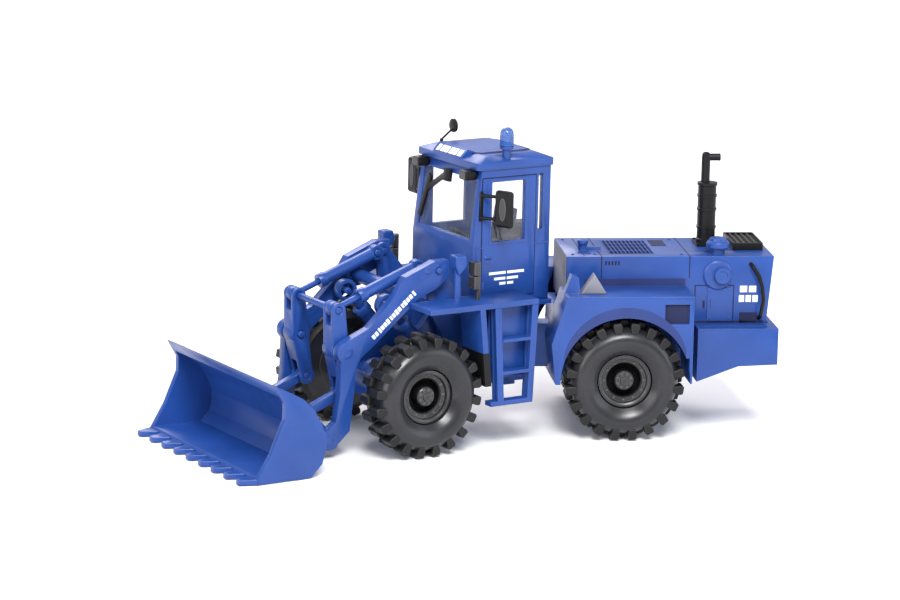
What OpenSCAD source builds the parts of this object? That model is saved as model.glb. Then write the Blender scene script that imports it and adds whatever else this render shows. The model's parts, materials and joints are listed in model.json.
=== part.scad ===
// Articulated wheel loader, a small plastic model with working steering joint and bucket linkage.
// Millimetres. +X points forwards, +Y to the loader's left and +Z up. z = 0 is the ground.
// The design is drawn with x = 0, y = 0 on the steering axis, then moved so that the
// origin lies under the middle of the whole model's box.

/* [Stance] */
// Turn of the rear section about the steering axis
steer_angle = -25.4; // [-30:0.1:30]

/* [Wheels] */
// Outer radius of a tyre, over its lugs
tyre_r = 7.78; // [7.4:0.01:7.9]
// Width of a tyre
tyre_w = 5.38; // [4.8:0.01:5.4]
// Distance from the middle plane to a tyre's outer face
track_half = 13.76; // [13.5:0.01:14.2]
// Distance of the front axle ahead of the steering axis
front_axle_x = 21.1; // [21:0.1:21.3]
// Distance of the rear axle from the steering axis
rear_axle_x = -12.7; // [-12.9:0.1:-12.6]
// Number of lugs on each side of a tyre
lug_count = 20; // [14:1:24]
// Radius of a wheel's hub disc
hub_r = 3.5; // [3.3:0.05:3.6]

/* [Cab] */
// Length of the cab at its floor
cab_len = 11.6; // [11.4:0.1:11.7]
// Half of the cab's width
cab_half_w = 7.5; // [7.3:0.1:7.6]
// Height of the cab floor
cab_floor_z = 17.5; // [17.4:0.1:17.6]
// Height of the top of the cab's walls
cab_top_z = 35.1; // [34.8:0.1:35.3]
// Thickness of the cab's walls
cab_wall = 0.8; // [0.6:0.05:0.9]
// Height of the warning beacon above the roof
beacon_h = 4.4; // [4:0.1:4.8]

/* [Boom] */
// Distance from the middle plane to a boom arm's outer face
boom_half_w = 8; // [7.9:0.05:8.1]
// Thickness of a boom arm
boom_t = 1.3; // [1.1:0.05:1.35]

/* [Bucket] */
// Half of the bucket's width
bucket_half_w = 14.7; // [13.8:0.1:15]
// Thickness of the bucket's floor and back
bucket_t = 0.9; // [0.7:0.05:1]
// Number of bucket teeth
tooth_count = 9; // [7:1:11]
// Forward end of the teeth
tooth_tip_x = 48.6; // [48.2:0.1:48.8]

/* [Rear section] */
// Half of the hood's width
hood_half_w = 6.2; // [6:0.1:6.4]
// Height of the hood's top
hood_top_z = 22.9; // [22.6:0.1:23.2]
// Distance from the middle plane to a fender's outer face
fender_half_w = 13.3; // [13:0.1:13.4]
// Height of the fenders' flat tops
fender_top_z = 19; // [18.9:0.1:19.1]
// Half of the counterweight's width
weight_half_w = 9.9; // [9.6:0.1:10.1]
// Rear end of the counterweight
weight_rear_x = -33.2; // [-33.6:0.1:-33]

/* [Hidden] */
$fn = 48;

// Clearances
run_gap = 0.05;
seat_gap = 0.02;

// Pivots of the boom and its linkage, as [x, z]
boom_pivot = [16.9, 22.8];
crank_pivot = [30.2, 13.5];
bucket_pivot = [32.5, 2.4];
crank_top = [30.5, 18.6];
crank_foot = [29.2, 7.9];
bucket_ear = [34.8, 5.6];
tilt_base = [18.6, 23];
lift_base = [14.3, 9];
lift_eye = [23, 18.4];
cross_tube_at = [20.6, 19.9];
pin_r = 0.45;
cheek_w = 0.6;
cross_tube_r = 0.9;

// Stations across the linkage, measured from the middle plane
eye_y = 4.6;
eye_w = 1.1;
crank_y = 3.9;
crank_w = 2.5;
ear_inner_y = 3.85;
ear_outer_y = 5.85;
ear_w = 0.6;
tower_y = 5.9;
tower_w = 0.65;
frame_y = 2.8;
frame_w = 1;
boom_y = boom_half_w - boom_t;

// Cylinders
tilt_barrel_len = 9;
tilt_barrel_r = 0.8;
tilt_rod_r = 0.4;
tilt_rod_len = 8;
lift_barrel_len = 9.6;
lift_barrel_r = 1;
lift_rod_r = 0.5;
lift_rod_len = 10.4;
open_eye_r = 0.95;

// Axles
axle_z = tyre_r;
axle_r = 0.7;
housing_r = 1.6;
housing_half = 7.4;
tyre_in_y = track_half - tyre_w;

// Radius of the upright bore for a towing pin
tow_bore_r = 0.5;

// Steering joint
steer_pin_r = 1.4;
steer_lug_r = 2.3;
platform_half_w = 7.8;
cab_floor_top = cab_floor_z + cab_wall;
lower_lug_z = 5.6;
upper_lug_z = 13.2;
lug_t = 1.4;
tongue_gap = 0.2;

// Middle of the model's box in the drawing frame
function turned(p) = [p[0] * cos(steer_angle) - p[1] * sin(steer_angle),
    p[0] * sin(steer_angle) + p[1] * cos(steer_angle)];
weight_corners = [for (s = [-1, 1]) turned([weight_rear_x, s * weight_half_w])];
box_x = [min([for (c = weight_corners) c[0]]), tooth_tip_x];
box_y = [min(-bucket_half_w, min([for (c = weight_corners) c[1]])),
    max(bucket_half_w, max([for (c = weight_corners) c[1]]))];
origin_at = [(box_x[0] + box_x[1]) / 2, (box_y[0] + box_y[1]) / 2, 0];

blue = [0.12, 0.25, 0.68];
grey = [0.6, 0.6, 0.62];
dark = [0.08, 0.08, 0.08];

// Placing helpers
module front() translate(-origin_at) children();
module rear() front() rotate([0, 0, steer_angle]) children();
module both() {
    children();
    mirror([0, 1, 0]) children();
}
// A plate cut from an outline drawn in [x, z], from y to y + w
module plate(y, w) translate([0, y + w, 0]) rotate([90, 0, 0]) linear_extrude(w) children();
// A rod along y at the point p = [x, z], from y to y + w
module rod(p, y, w, r) translate([p[0], y, p[1]]) rotate([-90, 0, 0]) cylinder(r = r, h = w);
module box(x, y, z) translate([x[0], y[0], z[0]]) cube([x[1] - x[0], y[1] - y[0], z[1] - z[0]]);
module disc(p, r) translate(p) circle(r = r);
// Children are drawn along +X from the pivot a towards the pivot b, both as [x, z]
module along(a, b, y) translate([a[0], y, a[1]])
    rotate([0, -atan2(b[1] - a[1], b[0] - a[0]), 0]) children();
function span(a, b) = norm(b - a);

// ---------- front section ----------
module front_frame() color(blue) front() {
    difference() {
        union() {
            both() plate(frame_y, frame_w) polygon([[2.4, 6.2], [18, 5.4], [24, 5.8], [24.6, 9],
                [19, 12.6], [15, 16.9], [2.4, 16.9]]);
            box([2.4, 4], [-frame_y - frame_w, frame_y + frame_w], [5.6, 16.9]);
            box([23.7, 24.4], [-frame_y - 0.1, frame_y + 0.1], [6, 9]);
            box([6, 18], [-frame_y - 0.1, frame_y + 0.1], [6, 7]);
            both() box([12.3, 14.6], [frame_y + frame_w - 0.1, tower_y + tower_w], [13, 16.9]);
            both() plate(tower_y, tower_w) tower_outline();
            box([12.3, 14.2], [-frame_y, frame_y], [13, 16.9]);
            box([-0.4, 14.4], [-platform_half_w, platform_half_w], [16.9, cab_floor_z]);
            both() steering_lugs();
        }
        rod([front_axle_x, axle_z], -10, 20, housing_r + seat_gap);
        both() rod(boom_pivot, tower_y - 1, 3, pin_r + seat_gap);
        both() rod(lift_base, frame_y - 1, 3, pin_r + seat_gap);
        translate([0, 0, lower_lug_z - 1]) cylinder(r = steer_pin_r + seat_gap, h = 12);
    }
}
module tower_outline() {
    disc(boom_pivot, 1.15);
    polygon([[12.3, 13], [14.6, 13], [17.2, 17], [18, 22.8], [15.8, 22.8], [12.3, 18.6]]);
}
module steering_lugs() for (z = [lower_lug_z, upper_lug_z]) {
    translate([0, 0, z]) cylinder(r = steer_lug_r, h = lug_t);
    box([0, 2.6], [0, steer_lug_r], [z, z + lug_t]);
}
module front_axle_housing() color(blue) front() axle_housing(front_axle_x);
module axle_housing(x) difference() {
    union() {
        rod([x, axle_z], -housing_half, 2 * housing_half, housing_r);
        translate([x, 0, axle_z]) sphere(r = 2.5);
        for (s = [-1, 1]) rod([x, axle_z], s > 0 ? 6.2 : -7.4, 1.2, 2.1);
    }
    rod([x, axle_z], -10, 20, axle_r + run_gap);
}
module frame_pins() color(blue) front() both() {
    rod(boom_pivot, tower_y - 0.3, boom_half_w - tower_y + 0.6, pin_r);
    rod(lift_base, frame_y - 0.1, eye_y + eye_w + 0.5 - frame_y, pin_r);
}
module steering_pin() color(blue) front() translate([0, 0, lower_lug_z - 0.3]) {
    cylinder(r = steer_pin_r, h = upper_lug_z + lug_t - lower_lug_z + 0.6);
    translate([0, 0, upper_lug_z + lug_t - lower_lug_z + 0.3]) cylinder(r = steer_pin_r + 0.4, h = 0.5);
}
seat_half_w = 2.2;
module driver_seat() color(grey) front() {
    box([2.2, 6], [-seat_half_w, seat_half_w], [20.5, 22]);
    plate(-seat_half_w, 2 * seat_half_w) polygon([[2.2, 21.9], [3.4, 21.9], [2.4, 28.6], [1.4, 28.6]]);
    box([2.8, 5.2], [-1.5, 1.5], [cab_floor_top, 20.5]);
}
module steering_console() color(dark) front() {
    plate(-3.4, 6.8) polygon([[9, 18.5], [cab_len - 0.9, 18.5], [cab_len - 0.9, 24.6], [9.6, 25.2]]);
    translate([8.6, 0, 25.4]) rotate([0, -30, 0]) steering_wheel();
    box([9, cab_len - 0.9], [-1.2, 1.2], [cab_floor_top, 18.6]);
}
module steering_wheel() {
    rotate_extrude() translate([1.6, 0]) circle(r = 0.22);
    cylinder(r = 0.4, h = 0.4, center = true);
    for (a = [30, 150, 270]) rotate([0, 0, a]) translate([0.2, -0.15, -0.12]) cube([1.35, 0.3, 0.24]);
    translate([0, 0, -1.4]) cylinder(r = 0.3, h = 1.4);
}

// ---------- cab ----------
screen_foot = [cab_len, 25];
screen_head = [cab_len - 1.2, cab_top_z];
module cab_outline(inset) polygon([[inset, cab_floor_z + inset], [cab_len - inset, cab_floor_z + inset],
    screen_foot + [-inset, 0], screen_head - [inset, inset], [inset, cab_top_z - inset]]);
// How far the door stands out of the cab's side
door_proud = 0.15;
door_x = [2.3, 10.3];
door_z = [18.4, 34];
door_glass_x = [3.9, 9];
door_glass_z = [25.7, 33.5];
slit_x = [1.15, 1.8];
slit_z = [26.8, 34.1];
rear_glass_z = [24.5, 33.5];
screen_z = [26, 33.7];
screen_half = 6.4;
module cab_shell() color(blue) front() difference() {
    plate(-cab_half_w, 2 * cab_half_w) cab_outline(0);
    plate(-cab_half_w + cab_wall, 2 * (cab_half_w - cab_wall)) cab_outline(cab_wall);
    box([8, 14], [-screen_half, screen_half], screen_z);
    box([-1, 2], [-screen_half, screen_half], rear_glass_z);
    box(door_x, [cab_half_w - cab_wall - 0.1, cab_half_w + 0.1], door_z);
    box(slit_x, [cab_half_w - cab_wall - 0.1, cab_half_w + 0.1], slit_z);
    box(slit_x, [-cab_half_w - 0.1, cab_wall - cab_half_w + 0.1], slit_z);
    box(door_glass_x, [-cab_half_w - 0.1, cab_wall - cab_half_w + 0.1], door_glass_z);
}
module cab_door() color(blue) front() difference() {
    union() {
        box(door_x + [seat_gap, -seat_gap], [cab_half_w - 0.7, cab_half_w + door_proud],
            door_z + [seat_gap, -seat_gap]);
        box([9, 9.9], [cab_half_w, cab_half_w + 0.4], [23.6, 24]);
    }
    box(door_glass_x, [cab_half_w - 1, cab_half_w + 1], door_glass_z);
}
module cab_windows() color([0.8, 0.85, 0.9, 0.4]) front() {
    g = seat_gap;
    both() for (w = [door_glass_x, slit_x]) let (z = w == slit_x ? slit_z : door_glass_z)
        box(w + [g, -g], [cab_half_w - 0.6, cab_half_w - 0.2], z + [g, -g]);
    box([0.2, 0.6], [g - screen_half, screen_half - g], rear_glass_z + [g, -g]);
    lean = (screen_head[0] - screen_foot[0]) / (screen_head[1] - screen_foot[1]);
    front_at = [for (z = screen_z) screen_foot[0] + lean * (z - screen_foot[1])];
    plate(g - screen_half, 2 * (screen_half - g)) polygon([[front_at[0] - 0.6, screen_z[0] + g],
        [front_at[0] - 0.2, screen_z[0] + g], [front_at[1] - 0.2, screen_z[1] - g],
        [front_at[1] - 0.6, screen_z[1] - g]]);
}
roof_half_w = 7.7;
roof_rim = 0.9;
roof_x = [-0.6, 11.1];
fascia_half_w = 3.5;
beacon_at = [6.2, 6.5];
beacon_stem_r = 0.55;
mirror_rod_at = [8.2, -6.2];
mirror_rod_r = 0.25;
module cab_roof() color(blue) front() difference() {
    union() {
        hull() {
            roof_corners(0, 0.8, roof_rim);
            roof_corners(1.8, 0.8, roof_rim + 0.7);
        }
        plate(-fascia_half_w, 2 * fascia_half_w) polygon([[9, cab_top_z + 0.3], [9, cab_top_z + 1.7],
            [10.2, cab_top_z + 2.1], [roof_x[1], cab_top_z + 1.1], [roof_x[1], cab_top_z + 0.3]]);
    }
    translate([beacon_at[0], beacon_at[1], cab_top_z + 0.4])
        cylinder(r = beacon_stem_r + seat_gap, h = 4);
    translate([mirror_rod_at[0], mirror_rod_at[1], cab_top_z + 0.4])
        cylinder(r = mirror_rod_r + seat_gap, h = 4);
}
module roof_corners(inset, r, h) for (x = roof_x + (inset + r) * [1, -1], s = [-1, 1])
    translate([x, s * (roof_half_w - inset - r), cab_top_z]) cylinder(r = r, h = h, $fn = 24);
beacon_cap_r = 0.93;
module beacon() color(blue) front() translate([beacon_at[0], beacon_at[1], cab_top_z]) {
    translate([0, 0, 0.5]) cylinder(r = beacon_stem_r, h = beacon_h - 2);
    translate([0, 0, 2.7]) cylinder(r = beacon_cap_r, h = beacon_h + 0.8 - beacon_cap_r - 2.7);
    translate([0, 0, beacon_h + 0.8 - beacon_cap_r]) sphere(r = beacon_cap_r);
}
module roof_mirror() color(dark) front() translate([mirror_rod_at[0], mirror_rod_at[1], cab_top_z]) {
    translate([0, 0, 0.5]) cylinder(r = mirror_rod_r, h = 1.4);
    translate([0, 0, 1.8]) rotate([0, -52, 0]) cylinder(r = 0.14, h = 2);
    translate([-1.8, 0, 3.5]) rotate([0, 90, 0]) cylinder(r = 0.9, h = 0.3, center = true);
}
mirror_x = 8.9;
mirror_reach = 9.2;
far_mirror_reach = 10.4;
mirror_left_z = 30.5;
mirror_right_z = 31.3;
module mirror_left() color(dark) front() translate([mirror_x, 0, mirror_left_z])
    mirror_head(mirror_reach);
module mirror_right() color(dark) front() mirror([0, 1, 0])
    translate([mirror_x, 0, mirror_right_z]) mirror_head(far_mirror_reach);
// A mirror on its bracket; reach is how far out its head begins
module mirror_head(reach) {
    box([-0.45, 0.45], [reach, reach + 2.6], [-2.4, 2.4]);
    for (z = [-1.6, 1.3]) box([0.1, 1.8], [cab_half_w + door_proud + 0.05, reach + 0.2],
        [z, z + 0.35]);
    box([1.5, 1.9], [cab_half_w, cab_half_w + 0.35], [-1.9, 1.9]);
}
module work_lights() color(dark) front() both() box([cab_len - 1, 12.4], [5, 6.7], [33.8, 35]);
// The wiper lies just off the windscreen, in the screen's own plane
module wiper() color(dark) front() along(screen_foot, screen_head, 0) translate([0, 0, -0.6]) {
    translate([7.6, -0.8, 0]) cube([1.6, 1.4, 0.6]);
    translate([8.4, 0, 0.1]) rotate([0, 0, -122]) cube([5.8, 0.7, 0.35]);
    translate([2.3, -6.1, 0.1]) rotate([0, 0, 16]) cube([5.9, 0.8, 0.35]);
}

// ---------- fenders, ladders and lamps ----------
deck_z = 19.1;
deck_t = 0.7;
foot_z = 5.6;
post_at = [14.8, 9.1];
post_h = 5;
ladder_y = [11.8, 13.2];
ladder_t = 0.4;
module front_fender_left() color(blue) front() front_fender();
module front_fender_right() color(blue) front() mirror([0, 1, 0]) front_fender();
module front_fender() {
    box([5.1, 21.2], [platform_half_w + 0.3, fender_half_w], [deck_z - deck_t, deck_z]);
    plate(8.2, fender_half_w - 8.2) polygon([[13.1, 18.5], [13.9, 18.5], [12.9, 8.4], [12.1, 8.4]]);
    box([5.1, 14.4], [platform_half_w, platform_half_w + 0.4], [16.9, deck_z]);
    guard_post();
}
module guard_post() translate([post_at[0], post_at[1], deck_z - 0.1]) {
    cylinder(r = 0.5, h = post_h);
    translate([0, 0, post_h]) sphere(r = 0.8);
}
module ladder_left() color(blue) front() ladder();
module ladder_right() color(blue) front() mirror([0, 1, 0]) ladder();
module ladder() {
    for (y = [ladder_y[0], ladder_y[1] - ladder_t]) plate(y, ladder_t) ladder_side();
    for (z = [9.6, 13.8]) box([5.9, 10.3], ladder_y, [z, z + ladder_t]);
    box([5.7, 12], ladder_y, [foot_z, foot_z + 0.6]);
}
module ladder_side() {
    polygon([[5.1, deck_z - deck_t], [6, deck_z - deck_t], [6.5, foot_z], [5.7, foot_z]]);
    polygon([[10.7, deck_z - deck_t], [11.6, deck_z - deck_t], [10.9, foot_z], [10, foot_z]]);
}
module side_tanks() color(blue) front() both() box([4.9, 11.5], [8.2, 11.5], [8.8, deck_z - deck_t]);
lamp_z = 20.6;
lamp_h = 1.6;
module headlamps() color(dark) front() both() {
    for (z = [lamp_z, lamp_z + 1.8]) box([12.6, 13.4], [9.4, 11], [z, z + lamp_h]);
    box([12.2, 12.7], [9.9, 10.5], [deck_z, 24]);
}

// ---------- rear section ----------
module rear_frame() color(blue) rear() difference() {
    union() {
        translate([0, 0, lower_lug_z + lug_t + tongue_gap])
            cylinder(r = steer_lug_r - 0.1, h = upper_lug_z - lower_lug_z - lug_t - 2 * tongue_gap);
        box([-5, 0], [-1.6, 1.6], [lower_lug_z + lug_t + tongue_gap, upper_lug_z - tongue_gap]);
        box([-5.4, -4.4], [-3.8, 3.8], [6.2, 16]);
        both() plate(frame_y, frame_w) polygon([[-5, 6.2], [-5, 16], [-21.4, 16],
            [-21.4, 13.4], [-29, 13.4], [-29, 9.4], [-22, 6.2]]);
        box([-29, -26], [-3.8, 3.8], [9.4, 13.3]);
        box([hood_break_x + 0.1, -6], [-6, 6], [15.6, 16.2]);
    }
    translate([0, 0, lower_lug_z]) cylinder(r = steer_pin_r + run_gap, h = 12);
    rod([rear_axle_x, axle_z], -10, 20, housing_r + seat_gap);
}
module rear_axle_housing() color(blue) rear() axle_housing(rear_axle_x);
hood_front_x = -5.7;
hood_rear_x = -33;
hood_break_x = -21.6;
hood_low_z = 13.6;
hood_wall = 0.8;
// Openings in the hood's top, as ranges of x and y
grille_x = [-17.4, -11.7];
grille_y = [-4.4, 4.4];
mesh_x = [-32.2, -28.2];
mesh_y = [-5, 2.4];
module hood_outline(inset) polygon([[hood_front_x - inset, 16.2],
    [hood_front_x - inset, hood_top_z - inset], [hood_rear_x + inset, hood_top_z - inset],
    [hood_rear_x + 0.8 + inset, hood_low_z],
    [hood_break_x + inset, hood_low_z], [hood_break_x + inset, 16.2]]);
module hood() color(blue) rear() difference() {
    union() {
        plate(-hood_half_w, 2 * hood_half_w) hood_outline(0);
        translate([-8.3, 2, hood_top_z]) filler_valve();
    }
    difference() {
        plate(hood_wall - hood_half_w, 2 * (hood_half_w - hood_wall)) hood_outline(hood_wall);
        box([hood_rear_x, hood_break_x], [-hood_half_w, hood_half_w], [hood_low_z, hood_low_z + 0.5]);
    }
    box(grille_x, grille_y, [hood_top_z - 0.3, hood_top_z + 1]);
    box(mesh_x, mesh_y, [hood_top_z - 0.4, hood_top_z + 1]);
}
module filler_valve() {
    cylinder(r = 0.6, h = 1);
    translate([0, 0, 0.9]) cylinder(r = 0.75, h = 0.5);
    translate([-2.4, -0.35, 0]) cube([2.4, 0.7, 0.5]);
}
module hood_grille() color(blue) rear() {
    box(grille_x, grille_y, [hood_top_z - 0.3, hood_top_z - 0.15]);
    pitch = (grille_x[1] - grille_x[0]) / 10;
    for (i = [1 : 9]) let (x = grille_x[0] + i * pitch)
        box([x - 0.1, x + 0.1], grille_y, [hood_top_z - 0.16, hood_top_z + 0.05]);
}
module radiator_mesh() color(dark) rear() difference() {
    box(mesh_x, mesh_y, [hood_top_z - 0.4, hood_top_z + 1]);
    for (i = [0 : 3], j = [0 : 5])
        translate([mesh_x[0] + 0.3 + i, mesh_y[0] + 0.4 + j * 1.2, hood_top_z + 0.5]) cube([0.7, 0.8, 1]);
}
exhaust_at = [-25.3, -1.8];
module exhaust_stack() color(dark) rear() translate([exhaust_at[0], exhaust_at[1], hood_top_z]) {
    translate([-2.1, -2.2, 0]) cube([3.6, 4, 0.5]);
    cylinder(r = 1.35, h = 8.4);
    translate([0.3, 0, 8.3]) cylinder(r = 0.6, h = 4.1);
    translate([0.3, 0, 11.7]) rotate([0, -90, 0]) cylinder(r = 0.5, h = 1.9);
}
module pre_cleaner() color(blue) rear() translate([-25.8, 4.4, hood_top_z]) {
    cylinder(r = 0.95, h = 0.8);
    translate([0, 0, 0.7]) cylinder(r = 1.55, h = 1);
    translate([0, 0, 1.7]) cylinder(r = 1.2, h = 0.5);
}
filter_at = [-25.6, 20.4];
module filter_cap() color(blue) rear() {
    rod(filter_at, hood_half_w, 0.4, 1.95);
    rod(filter_at - [0.5, 0], hood_half_w + 0.4, 0.7, 1.15);
}
arch_r = 8.45;
recess_y = fender_half_w - 0.4;
recess_x = [-20.8, -17.6];
recess_z = [15.4, 18];
module rear_fender_left() color(blue) rear() {
    rear_fender();
    plate(9.2, 1.8) polygon([[-6.9, fender_top_z], [-6.6, fender_top_z + 2.1], [-5.7, fender_top_z + 2.4],
        [-4.9, fender_top_z]]);
}
module rear_fender_right() color(blue) rear() mirror([0, 1, 0]) rear_fender();
module fender_outline(inset) polygon([[-3.6 - inset, 7.5], [-3 - inset, 12.8],
    [-4.9 - inset, fender_top_z - inset], [-21.4 + inset, fender_top_z - inset], [-21.4 + inset, 7.5]]);
module rear_fender() {
    difference() {
        plate(hood_half_w, fender_half_w - hood_half_w) fender_outline(0);
        plate(hood_half_w - 0.1, fender_half_w - hood_half_w - 0.6) fender_outline(0.7);
        rod([rear_axle_x, axle_z], 0, 20, arch_r);
        box([-21, -5], [5, 14], [0, 10.9]);
        box(recess_x, [recess_y, fender_half_w + 1], recess_z);
    }
}
module wheel_chock() color(grey) rear() plate(9.2, 2) polygon([[-6.95, fender_top_z],
    [-8.7, fender_top_z + 2.5], [-10.3, fender_top_z]]);
rail_x = -31.3;
rail_off = 0.9;
module rear_handrails() color(dark) rear() both() {
    for (z = [14.8, 21.6]) rod([rail_x, z], hood_half_w, rail_off, 0.2);
    translate([rail_x, hood_half_w + rail_off, 14.5]) cylinder(r = 0.3, h = 7.4);
}
module counterweight() color(blue) rear() difference() {
    plate(-weight_half_w, 2 * weight_half_w)
        polygon([[-22.6, 14], [-22.6, 7], [-28, 9], [weight_rear_x, 9.2], [weight_rear_x, 14]]);
    box([hood_rear_x + 0.5, -22], [-hood_half_w - 0.1, hood_half_w + 0.1], [hood_low_z, 15]);
    box([-29, -20], [-3.85, 3.85], [0, 13.4]);
    both() box([-31.8, -23.6], [8, 9], [13, 15]);
    box([weight_rear_x - 1, weight_rear_x + 2], [-1.4, 1.4], [10.6, 12.4]);
    translate([weight_rear_x + 1, 0, 5]) cylinder(r = tow_bore_r, h = 8.2);
}

// ---------- wheels ----------
module front_axle() color(dark) front() axle(front_axle_x);
module rear_axle() color(dark) rear() axle(rear_axle_x);
module axle(x) {
    rod([x, axle_z], -housing_half - 1, 2 * housing_half + 2, axle_r);
    both() translate([x, housing_half + 0.2, axle_z]) rotate([-90, 0, 0]) rotate_extrude()
        polygon([[0, 0], [1.2, 0], [1.2, 1.2], [hub_r, 1.2], [hub_r, 4.9], [3, 4.9], [2.4, 3.6],
            [1.3, 3.6], [1.3, 4.6], [0, 4.8]]);
}
module tyre_front_left() color(dark) front() tyre(front_axle_x);
module tyre_front_right() color(dark) front() mirror([0, 1, 0]) tyre(front_axle_x);
module tyre_rear_left() color(dark) rear() tyre(rear_axle_x);
module tyre_rear_right() color(dark) rear() mirror([0, 1, 0]) tyre(rear_axle_x);
module tyre(x) translate([x, tyre_in_y, axle_z]) rotate([-90, 0, 0]) {
    rotate_extrude($fn = 96) polygon([[hub_r + seat_gap, 0.3], [6.2, 0], [7, 0.6], [7, tyre_w - 0.6],
        [6.3, tyre_w - 0.1], [hub_r + seat_gap, tyre_w - 0.6]]);
    for (i = [0 : lug_count - 1], side = [0, 1]) rotate([0, 0, (i + side / 2) * 360 / lug_count])
        translate([6.6, -0.55, side * tyre_w / 2]) intersection() {
            cube([2, 1.1, tyre_w / 2]);
            translate([-6.6, 0.55, -10]) cylinder(r = tyre_r, h = 20, $fn = 96);
        }
}

// ---------- boom and linkage ----------
module boom_outline() {
    polygon([[15.5, 21.9], [15.5, 24.1], [17.5, 24.1], [21.8, 22.4], [23.5, 19.8], [27.1, 16.3],
        [30.6, 14.8], [31, 12.6], [31.1, 8.2], [31.7, 4.6], [33.5, 3.2], [31.9, 1.3], [29.7, 3.4],
        [29.2, 7.5], [28.9, 11.2], [28.2, 12.7], [26.6, 13.8], [20, 19.4], [17.1, 20.6]]);
    disc(crank_pivot, 1.35);
    disc(bucket_pivot, 1.3);
}
module boom_arm_left() color(blue) front() boom_arm();
module boom_arm_right() color(blue) front() mirror([0, 1, 0]) boom_arm();
module boom_arm() difference() {
    union() {
        plate(boom_y, boom_t) boom_outline();
        rod(cross_tube_at, boom_y - 0.5, 0.6, cross_tube_r + 0.5);
    }
    rod(boom_pivot, 0, 20, pin_r + run_gap);
    for (p = [crank_pivot, bucket_pivot, tilt_base, lift_eye])
        rod(p, boom_y - 1, 1 + boom_t - 0.3, pin_r + seat_gap);
    rod(cross_tube_at, boom_y - 1, 1.6, cross_tube_r + seat_gap);
}
module boom_cross_tube() color(blue) front()
    rod(cross_tube_at, -boom_y - 0.5, 2 * boom_y + 1, cross_tube_r);
module boom_pins() color(blue) front() both() {
    for (p = [crank_pivot, bucket_pivot]) rod(p, 3.6, boom_half_w - 3.9, pin_r);
    for (p = [tilt_base, lift_eye]) rod(p, eye_y - 0.3, boom_half_w - eye_y, pin_r);
}
module bell_crank_left() color(blue) front() bell_crank();
module bell_crank_right() color(blue) front() mirror([0, 1, 0]) bell_crank();
module bell_crank() difference() {
    union() {
        for (y = [crank_y, crank_y + crank_w - cheek_w]) plate(y, cheek_w) crank_outline();
        plate(crank_y + cheek_w, crank_w - 2 * cheek_w) crank_core();
    }
    rod(crank_pivot, 0, 20, pin_r + run_gap);
    for (p = [crank_top, crank_foot]) rod(p, 0, 20, pin_r + seat_gap);
}
module crank_outline() {
    polygon([crank_top + [-0.95, 0], crank_top + [0.95, 0], crank_pivot + [1.2, 0.3],
        crank_pivot + [1.1, -0.5], crank_foot + [0.9, 0], crank_foot + [-0.9, 0],
        crank_pivot + [-1.2, -0.5], crank_pivot + [-1.2, 0.3]]);
    disc(crank_pivot, 1.35);
    disc(crank_top, 1);
    disc(crank_foot, 1.1);
}
module crank_core() intersection() {
    crank_outline();
    translate(crank_pivot - [3, 3.6]) square([6, 6.8]);
}
module crank_shafts() color(blue) front() {
    rod(crank_top, -crank_y - crank_w, 2 * (crank_y + crank_w), pin_r);
    both() rod(crank_foot, crank_y, crank_w, pin_r);
}
module eye(r, hole, w) difference() {
    cylinder(r = r, h = w, center = true);
    cylinder(r = hole, h = w + 1, center = true);
}
// A bar from the pivot a to the pivot b, with an eye at each end
module eye_bar(a, b, hole_a, hole_b) along(a, b, eye_y + eye_w / 2) difference() {
    union() {
        rotate([90, 0, 0]) cylinder(r = 0.95, h = eye_w, center = true);
        translate([span(a, b), 0, 0]) rotate([90, 0, 0]) cylinder(r = 1.4, h = eye_w, center = true);
        translate([0, -eye_w / 2, -0.6]) cube([span(a, b), eye_w, 1.2]);
    }
    rotate([90, 0, 0]) cylinder(r = hole_a, h = 5, center = true);
    translate([span(a, b), 0, 0]) rotate([90, 0, 0]) cylinder(r = hole_b, h = 5, center = true);
}
module tilt_links() color(blue) front() both()
    eye_bar(crank_foot, bucket_ear, pin_r + run_gap, open_eye_r);
module barrel(a, b, len, r, bore) along(a, b, eye_y + eye_w / 2) difference() {
    union() {
        rotate([90, 0, 0]) cylinder(r = 0.95, h = eye_w, center = true);
        translate([0.6, 0, 0]) rotate([0, 90, 0]) cylinder(r = r, h = len - 0.6);
        translate([len - 1, 0, 0]) rotate([0, 90, 0]) cylinder(r = r + 0.15, h = 1);
    }
    rotate([90, 0, 0]) cylinder(r = pin_r + run_gap, h = 5, center = true);
    translate([1.4, 0, 0]) rotate([0, 90, 0]) cylinder(r = bore, h = len);
}
module piston_rod(a, b, len, r, eye_r, hole) along(b, a, eye_y + eye_w / 2) difference() {
    union() {
        rotate([90, 0, 0]) cylinder(r = eye_r, h = eye_w, center = true);
        rotate([0, 90, 0]) cylinder(r = r, h = len);
    }
    rotate([90, 0, 0]) cylinder(r = hole, h = 5, center = true);
}
module tilt_barrels() color(blue) front() both()
    barrel(tilt_base, crank_top, tilt_barrel_len, tilt_barrel_r, tilt_rod_r + run_gap);
module tilt_rods() color(blue) front() both()
    piston_rod(tilt_base, crank_top, tilt_rod_len, tilt_rod_r, 1, pin_r + 0.25);
module lift_barrels() color(blue) front() both()
    barrel(lift_base, lift_eye, lift_barrel_len, lift_barrel_r, lift_rod_r + run_gap);
module lift_rods() color(blue) front() both()
    piston_rod(lift_base, lift_eye, lift_rod_len, lift_rod_r, 1.45, open_eye_r);

// ---------- bucket ----------
// Outer skin of the bucket in [x, z], from the cutting edge round the back to the upper lip
bucket_skin = [[46.4, 0], [39, 0], [37.4, 1.6], [36.9, 3.4], [36.9, 5.1], [37.6, 6.9], [38.6, 8.5],
    [40.1, 10.1], [42.1, 11.2], [44, 12.1]];
// Front edge of a side plate, from the upper lip down to the cutting edge
side_edge = [[44, 12.1], [42.7, 9.8], [42.7, 7.8], [44.5, 3.7], [46.4, 0.6]];
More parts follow.
